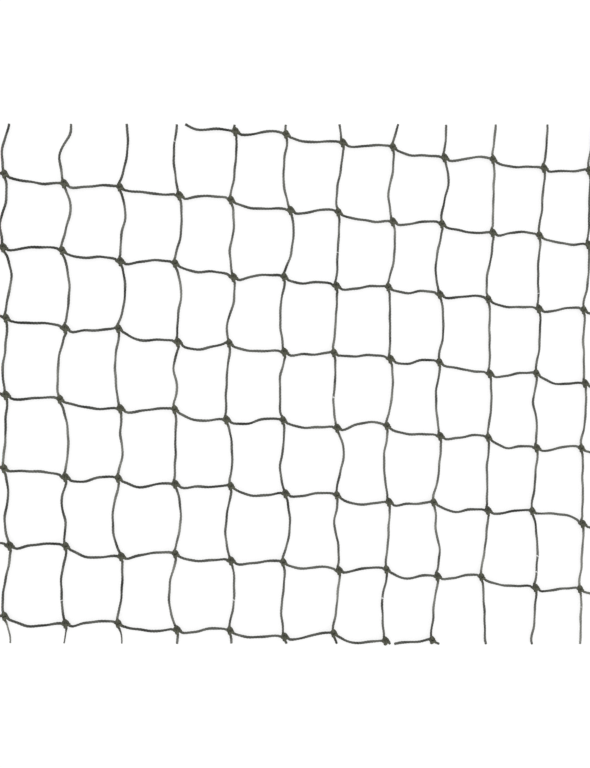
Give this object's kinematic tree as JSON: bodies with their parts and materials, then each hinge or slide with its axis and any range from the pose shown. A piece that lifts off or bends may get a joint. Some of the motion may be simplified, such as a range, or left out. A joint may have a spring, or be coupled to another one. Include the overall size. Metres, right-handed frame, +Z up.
{
  "type": "wire-reinforced protective net",
  "caption": "Cut length of knotted protective netting in olive wire-reinforced twine, lying flat, with bowed four-sided meshes, leaning knots and plain cut ends.",
  "frame": {"origin": "middle of the cut length, on the surface that the knots rest on", "axes": "+X along the bars, to the right; +Y up the legs; +Z up, away from the surface"},
  "size_m": [0.2916, 0.2579, 0.0026],
  "materials": {
    "olive_twine": "dull olive twisted twine with a fine steel wire laid in"
  },
  "bodies": {
    "root": {"net": "olive_twine"}
  },
  "joints": []
}
